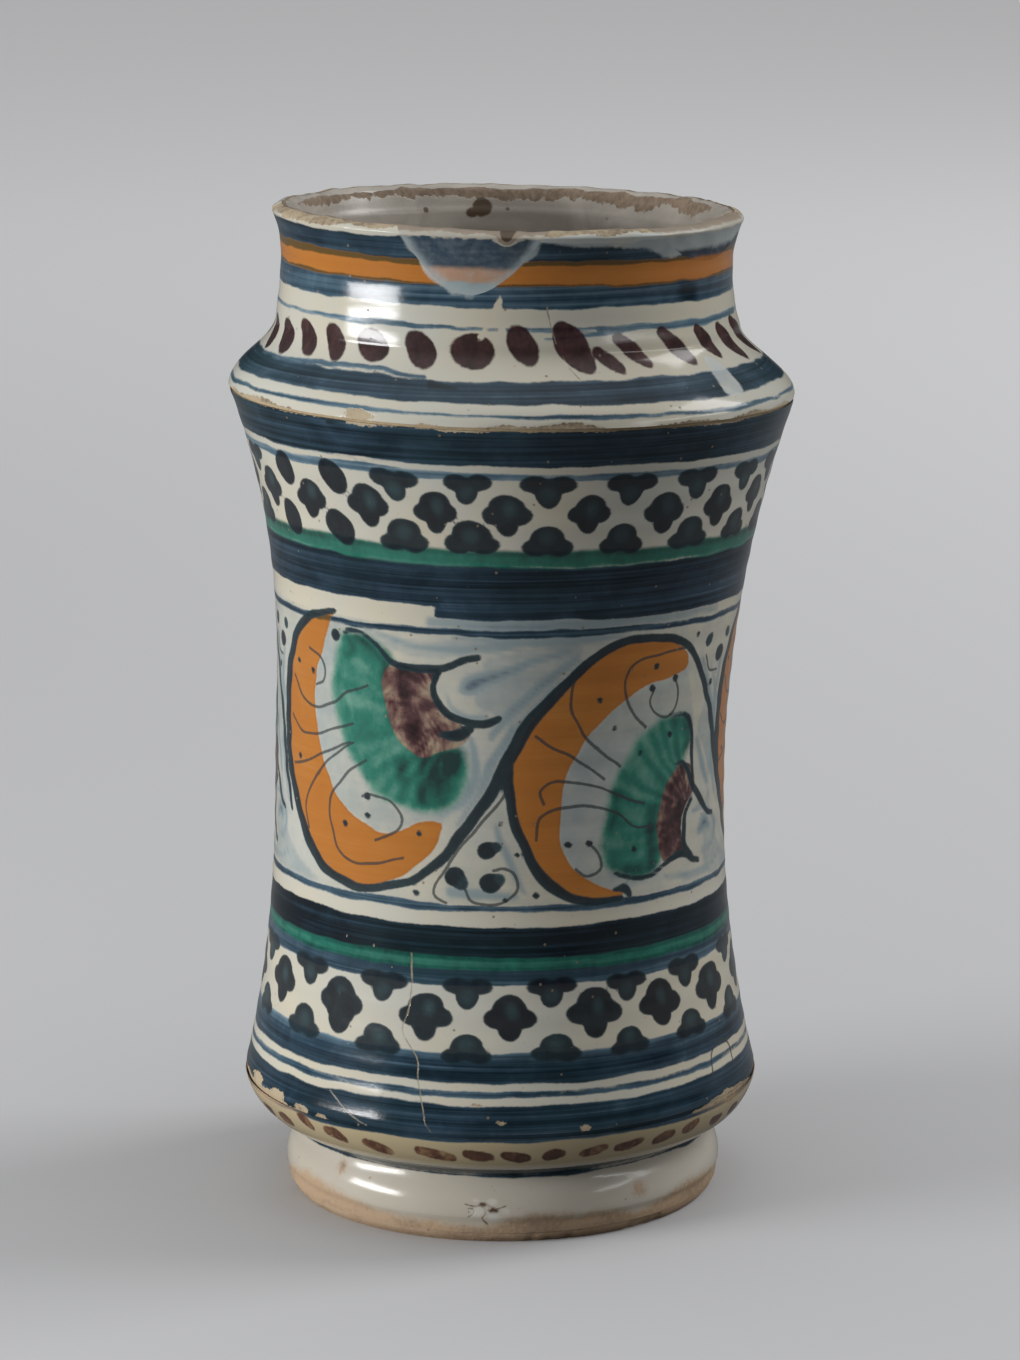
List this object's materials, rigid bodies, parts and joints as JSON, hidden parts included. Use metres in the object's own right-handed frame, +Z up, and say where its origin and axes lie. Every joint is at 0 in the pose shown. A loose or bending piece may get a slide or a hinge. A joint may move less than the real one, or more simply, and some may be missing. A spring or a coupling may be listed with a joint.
{
  "type": "albarello",
  "caption": "Waisted tin-glazed earthenware pharmacy jar with a flared skirt, ridged shoulder and low neck, painted in bands and leaf scrolls, with a mended rim.",
  "frame": {"origin": "centre of the standing edge of the foot, on the table", "axes": "+Z up along the jar's axis, -Y towards the painted front that the picture shows"},
  "size_m": [0.1237, 0.1238, 0.22],
  "materials": {
    "foot_clay": "bare fired buff earthenware, rubbed",
    "wall_clay": "bare fired earthenware, soiled at worn edges",
    "foot_coat": "thin off-white tin glaze with manganese dabs",
    "painted_coat": "glossy tin glaze painted in cobalt, copper green, orange and manganese",
    "lining_coat": "plain greyish white tin glaze, ragged at its upper edge",
    "fill": "toned plaster fill, matt overpaint"
  },
  "bodies": {
    "root": {"foot_ring": "foot_clay", "floor_disc": "foot_clay", "body_wall": "wall_clay", "shoulder_neck": "wall_clay", "foot_glaze": "foot_coat", "wall_glaze": "painted_coat", "neck_glaze": "painted_coat", "inner_glaze": "lining_coat", "rim_fill_front": "fill", "rim_fill_side": "fill"}
  },
  "joints": []
}
